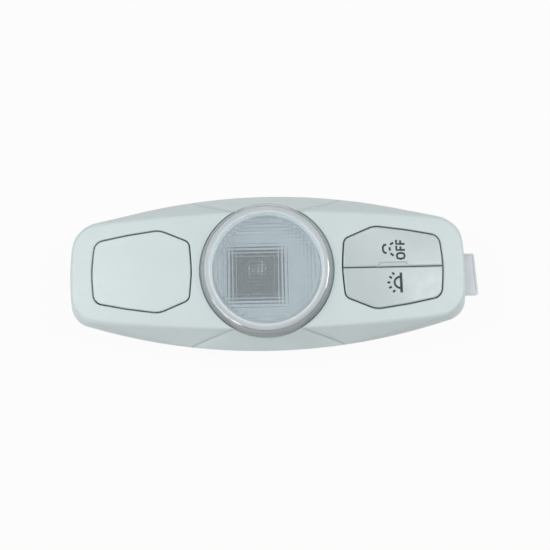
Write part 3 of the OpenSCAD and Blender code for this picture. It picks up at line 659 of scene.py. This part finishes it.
class LAMP_OT_lens(bpy.types.Operator):
    """Clear prismatic lens"""
    bl_idname = "lamp.lens"
    bl_label = "Lens"

    def execute(self, context):
        rim_depth, rim_radius = 1.2, 25
        bm = copy_of("lens", flat=0.1)
        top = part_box("lens")[1].z / MM
        rim = corners(bm, 20, lambda p: p.z > top - rim_depth and p.xy.length > rim_radius)
        soften(bm, sizes().rim_round, rim)
        self.add_rows(bm, (top - LENS_WALL) * MM)
        glass = clear(
            "lens_clear_plastic", (0.77, 0.82, 0.845), 0.02, 0.03,
            haze=0.14,
            frost=(0.0234, 0.22),
            rim=(0.0245, 0.58),
            smoke=((0.45, 0.53, 0.57), 40),
            # Painted light and shade: a paler clear band from 23.5 mm and a darker rim and side
            # wall from 27.3 mm, on the one plastic.
            painted_rings=((0.0235, (0.82, 0.86, 0.88)), (0.0273, (0.37, 0.40, 0.41))))
        piece(bm, "lens_moulding", glass, "root", "lens_clear", "lens", sharp=36)
        return {"FINISHED"}

    def add_rows(self, bm, front):
        """Swaps the solid's prisms for crossed, rounded rows on the flat inner front."""
        pitch, depth = sizes().prism_pitch, sizes().prism_depth
        cuts_per_row = 4
        prism_reach, fade_width = 0.5 * MM, 0.6 * MM
        field = FIELD_RADIUS * MM
        old = [f for f in bm.faces if all(
            v.co.xy.length < field + LEVEL * MM and abs(v.co.z - front) < prism_reach
            for v in f.verts)]
        bmesh.ops.delete(bm, geom=old, context="FACES")
        edge = [e for e in bm.edges if e.is_boundary]
        disc = bmesh.ops.edgeloop_fill(bm, edges=edge)["faces"]
        count = int(field / (pitch / cuts_per_row))
        for way in (Vector((1, 0, 0)), Vector((0, 1, 0))):
            for step in range(-count, count + 1):
                geom = {*disc, *(e for f in disc for e in f.edges),
                        *(v for f in disc for v in f.verts)}
                cut = bmesh.ops.bisect_plane(
                    bm, geom=list(geom), dist=ON_CUT,
                    plane_co=way * step * pitch / cuts_per_row, plane_no=way)
                disc = [g for g in cut["geom"] if isinstance(g, bmesh.types.BMFace)]
        for v in {v for f in disc for v in f.verts}:
            fade = min(1, max(0, (field - v.co.xy.length) / fade_width))
            waves = sum(1 - math.cos(2 * math.pi * v.co[k] / pitch) for k in (0, 1))
            v.co.z -= depth / 2 * waves * fade
        if sum(f.normal.z * f.calc_area() for f in disc) > 0:
            bmesh.ops.reverse_faces(bm, faces=disc)


class LAMP_OT_inside(bpy.types.Operator):
    """Finishes of the reflector, the bulb and all that lies behind the face"""
    bl_idname = "lamp.inside"
    bl_label = "Inside parts"

    def execute(self, context):
        paint("reflector", self.reflector_painted_light())
        paint("bulb", clear("bulb_glass", (0.97, 0.97, 0.96), 0.0, 0.02))
        black = plastic("black_plastic", (0.028, 0.028, 0.032), 0.35, 0.5, change=0.1)
        for node in ("bulb_holder", "connector_body", "door_switch", "lamp_switch"):
            paint(node, black)
        natural = plastic("natural_plastic", (0.78, 0.78, 0.74), 0.25, 0.35)
        for node in ("door_plunger", "lamp_plunger"):
            paint(node, natural)
        steel = metal("spring_steel", (0.60, 0.61, 0.62), 0.2, 0.3)
        paint("retaining_spring", steel)
        for key in ("door", "lamp"):
            self.coil(key + "_spring", steel, key + "_key_press")
        zinc = metal("zinc_steel", (0.52, 0.53, 0.55), 0.3, 0.42)
        for node in ("carrier_screws", "board_screws"):
            paint(node, zinc)
        brass = metal("contact_brass", (0.66, 0.55, 0.36), 0.25, 0.36)
        for node in ("feed_strip", "return_strip", "connector_pins"):
            paint(node, brass)
        paint("circuit_board", plastic("board_green", (0.03, 0.13, 0.07), 0.3, 0.4))
        return {"FINISHED"}

    def coil(self, node, steel, joint):
        """Return spring, a copy of its CAD node with a mesh of its own."""
        coil = piece(copy_of(node, flat=0.01), node + "_coil", steel, "root", "spring_steel", node)
        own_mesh(coil)

    def reflector_painted_light(self):
        """Pale dish with painted light up its wall and painted shade down in its well."""
        wall_foot, wall_head = 0.0325, 0.035
        well_edge, well_full_shade = 0.0303, 0.0300
        finish = Finish("reflector_painted_light_and_shade")
        finish.colour(colours().reflector, change=0.015, size=0.02)
        # Painted light: the wall is painted near white from its foot to its head, standing in for
        # light it lacks in its shade.
        finish.over(finish.height(), wall_foot, wall_head, (0.85, 0.86, 0.86))
        # Painted shade: below the well's edge the dish is painted near black for the shade down in
        # the well.
        finish.over(finish.height(), well_edge, well_full_shade, (0.04, 0.055, 0.06))
        finish.roughness(0.25, 0.35, size=0.004)
        finish.bump(depth=0.000008, size=0.0004)
        return finish.fixed(IOR=1.49).material


class LAMP_OT_carrier(bpy.types.Operator):
    """Milky carrier with its locating tongue"""
    bl_idname = "lamp.carrier"
    bl_label = "Carrier"

    def execute(self, context):
        # The tongue's top has a flat border, a steep wall and a sunk middle.
        tongue_x, tongue_foot, tongue_top = 80, 21, 23.5
        border, wall, drop = 0.8 * MM, 0.15 * MM, 0.25 * MM
        bm = copy_of("carrier")
        tongue = corners(bm, 40, lambda p: p.x > tongue_x and p.z > tongue_foot)
        soften(bm, sizes().tongue_round, tongue)
        top = [f for f in bm.faces if f.normal.z > UPWARD and len(f.verts) > 4
               and f.calc_center_median().x > tongue_x * MM
               and f.calc_center_median().z > tongue_top * MM]
        for width, depth in ((border, 0), (wall, -drop)):
            bmesh.ops.inset_region(
                bm, faces=top, thickness=width, depth=depth, use_even_offset=True)
        bm.normal_update()
        milky = plastic(
            "carrier_milky", colours().carrier, 0.3, 0.4, grain=0.0006, depth=0.000006)
        piece(bm, "carrier_moulding", milky, "root", "carrier_plastic", "carrier")
        return {"FINISHED"}


STEPS = ("stage", "bezel", "keys", "prints", "lens", "inside", "carrier")


class LAMP_PT_panel(bpy.types.Panel):
    """Lists the steps that dress the lamp"""
    bl_idname = "LAMP_PT_panel"
    bl_label = "Dome light"
    bl_space_type = "VIEW_3D"
    bl_region_type = "UI"
    bl_category = "Dome light"

    def draw(self, context):
        for group in (context.scene.lamp_sizes, context.scene.lamp_colours):
            for name in group.bl_rna.properties.keys():
                if name not in ("rna_type", "name"):
                    self.layout.prop(group, name)
        for step in STEPS:
            self.layout.operator("lamp." + step)


CLASSES = (
    LampSizes, LampColours, LAMP_OT_stage, LAMP_OT_bezel, LAMP_OT_keys, LAMP_OT_prints,
    LAMP_OT_lens, LAMP_OT_inside, LAMP_OT_carrier, LAMP_PT_panel)


def register():
    for cls in CLASSES:
        bpy.utils.register_class(cls)
    bpy.types.Scene.lamp_sizes = bpy.props.PointerProperty(type=LampSizes)
    bpy.types.Scene.lamp_colours = bpy.props.PointerProperty(type=LampColours)


def unregister():
    del bpy.types.Scene.lamp_colours
    del bpy.types.Scene.lamp_sizes
    for cls in reversed(CLASSES):
        bpy.utils.unregister_class(cls)


def main():
    register()
    for step in STEPS:
        getattr(bpy.ops.lamp, step)()


if __name__ == "__main__":
    main()
